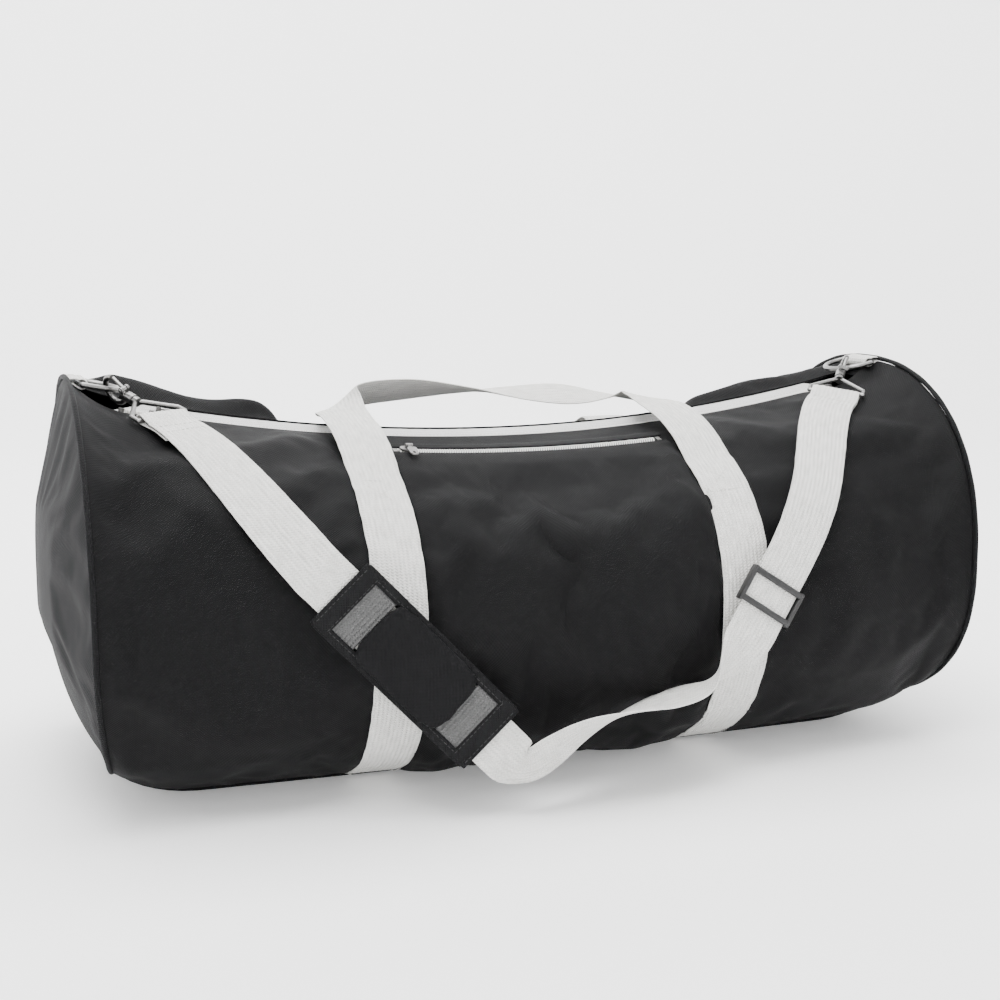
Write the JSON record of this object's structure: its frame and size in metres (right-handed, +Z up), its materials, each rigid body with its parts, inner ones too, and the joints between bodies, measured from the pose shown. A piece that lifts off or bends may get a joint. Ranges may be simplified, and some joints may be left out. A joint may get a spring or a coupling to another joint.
{
  "type": "duffel bag",
  "caption": "Round roll duffel bag with a sagging zipped top, front zip pocket, webbing grab handles and a padded clip-on shoulder strap.",
  "frame": {"origin": "on the ground under the middle of the bag's flat base", "axes": "+X along the bag to its right-hand end seen from the front, -Y to the front where the pocket is, +Z up"},
  "size_m": [0.712, 0.3772, 0.2988],
  "materials": {
    "black_fabric": "woven polyester, matt with a soft sheen",
    "white_webbing": "ribbed polypropylene webbing",
    "white_tape": "woven zip tape",
    "white_teeth": "moulded nylon coil",
    "nickel": "dull nickel plate",
    "black_plastic": "moulded acetal",
    "black_foam": "closed-cell foam"
  },
  "bodies": {
    "bag": {"front_panel": "black_fabric", "rear_panel": "black_fabric", "base_panel": "black_fabric", "left_end_panel": "black_fabric", "right_end_panel": "black_fabric", "left_piping": "black_fabric", "right_piping": "black_fabric", "left_seam_binding": "black_fabric", "right_seam_binding": "black_fabric", "main_zip_tape_front": "white_tape", "main_zip_tape_rear": "white_tape", "main_zip_teeth_front": "white_teeth", "main_zip_teeth_rear": "white_teeth", "main_zip_stops": "nickel", "pocket_panel": "black_fabric", "pocket_zip_tape_upper": "white_tape", "pocket_zip_tape_lower": "white_tape", "pocket_zip_teeth_upper": "white_teeth", "pocket_zip_teeth_lower": "white_teeth", "pocket_zip_stops": "nickel", "front_left_webbing": "white_webbing", "front_right_webbing": "white_webbing", "rear_left_webbing": "white_webbing", "rear_right_webbing": "white_webbing", "left_ring_tab": "white_webbing", "right_ring_tab": "white_webbing"},
    "main_slider": {"main_zip_slider": "nickel"},
    "main_pull": {"main_zip_pull": "nickel"},
    "pocket_slider": {"pocket_zip_slider": "nickel"},
    "pocket_pull": {"pocket_zip_pull": "nickel"},
    "front_grab_handle": {"front_handle": "white_webbing"},
    "rear_grab_handle": {"rear_handle": "white_webbing"},
    "left_ring": {"left_d_ring": "nickel"},
    "right_ring": {"right_d_ring": "nickel"},
    "strap": {"shoulder_strap": "white_webbing", "left_strap_loop": "white_webbing", "right_strap_loop": "white_webbing", "left_swivel_eye": "nickel", "right_swivel_eye": "nickel"},
    "left_hook": {"left_hook_body": "nickel", "left_gate_pin": "nickel", "left_gate_spring": "nickel"},
    "right_hook": {"right_hook_body": "nickel", "right_gate_pin": "nickel", "right_gate_spring": "nickel"},
    "left_gate": {"left_hook_gate": "nickel"},
    "right_gate": {"right_hook_gate": "nickel"},
    "slide": {"strap_slide": "black_plastic"},
    "pad": {"pad_cover": "black_fabric", "pad_foam": "black_foam", "pad_backing": "black_fabric"}
  },
  "joints": [
    {"name": "main_zip_run", "type": "hinge", "parent": "bag", "child": "main_slider", "pos_m": [0, 0, 1.641], "axis": [0, -1, 0], "range_deg": [0, 22]},
    {"name": "main_pull_flip", "type": "hinge", "parent": "main_slider", "child": "main_pull", "pos_m": [-0.26714, 0, 0.27131], "axis": [0, -1, 0], "range_deg": [0, 150]},
    {"name": "pocket_zip_run", "type": "hinge", "parent": "bag", "child": "pocket_slider", "pos_m": [0, 0, 1.66929], "axis": [0, -1, 0], "range_deg": [0, 7.6]},
    {"name": "pocket_pull_flip", "type": "hinge", "parent": "pocket_slider", "child": "pocket_pull", "pos_m": [-0.09556, -0.06437, 0.24495], "axis": [-0.9978, 0, 0.0669], "range_deg": [0, 140]},
    {"name": "front_handle_swing", "type": "hinge", "parent": "bag", "child": "front_grab_handle", "pos_m": [0, -0.09, 0.236], "axis": [1, 0, 0], "range_deg": [0, 100]},
    {"name": "rear_handle_swing", "type": "hinge", "parent": "bag", "child": "rear_grab_handle", "pos_m": [0, 0.092, 0.2355], "axis": [1, 0, 0], "range_deg": [0, 95]},
    {"name": "left_ring_tilt", "type": "hinge", "parent": "bag", "child": "left_ring", "pos_m": [-0.322, 0, 0.2925], "axis": [0, -1, 0], "range_deg": [0, 3]},
    {"name": "right_ring_tilt", "type": "hinge", "parent": "bag", "child": "right_ring", "pos_m": [0.322, 0, 0.2925], "axis": [0, 1, 0], "range_deg": [0, 3]},
    {"name": "strap_swing", "type": "hinge", "parent": "bag", "child": "strap", "pos_m": [0, -0.01293, 0.28755], "axis": [-1, 0, 0], "range_deg": [0, 90]},
    {"name": "left_hook_swivel", "type": "hinge", "parent": "strap", "child": "left_hook", "pos_m": [-0.29872, -0.01293, 0.28755], "axis": [0.5658, -0.7566, -0.3276], "range_deg": [-5, 5]},
    {"name": "right_hook_swivel", "type": "hinge", "parent": "strap", "child": "right_hook", "pos_m": [0.29872, -0.01293, 0.28755], "axis": [-0.5658, -0.7566, -0.3276], "range_deg": [-5, 5]},
    {"name": "left_gate_open", "type": "hinge", "parent": "left_hook", "child": "left_gate", "pos_m": [-0.29374, -0.02326, 0.28887], "axis": [-0.8114, -0.4404, -0.3843], "range_deg": [0, 14], "stiffness_Nm_per_rad": 0.02, "springref_deg": -17.19},
    {"name": "right_gate_open", "type": "hinge", "parent": "right_hook", "child": "right_gate", "pos_m": [0.29374, -0.02326, 0.28887], "axis": [-0.8114, 0.4404, 0.3843], "range_deg": [0, 14], "stiffness_Nm_per_rad": 0.02, "springref_deg": -17.19},
    {"name": "adjuster_slide", "type": "slide", "parent": "strap", "child": "slide", "axis": [0.5517, 0.1034, 0.8276], "range_m": [-0.006, 0.006]},
    {"name": "pad_slide", "type": "slide", "parent": "strap", "child": "pad", "axis": [0.6815, -0.1065, -0.7241], "range_m": [-0.015, 0.015]}
  ]
}
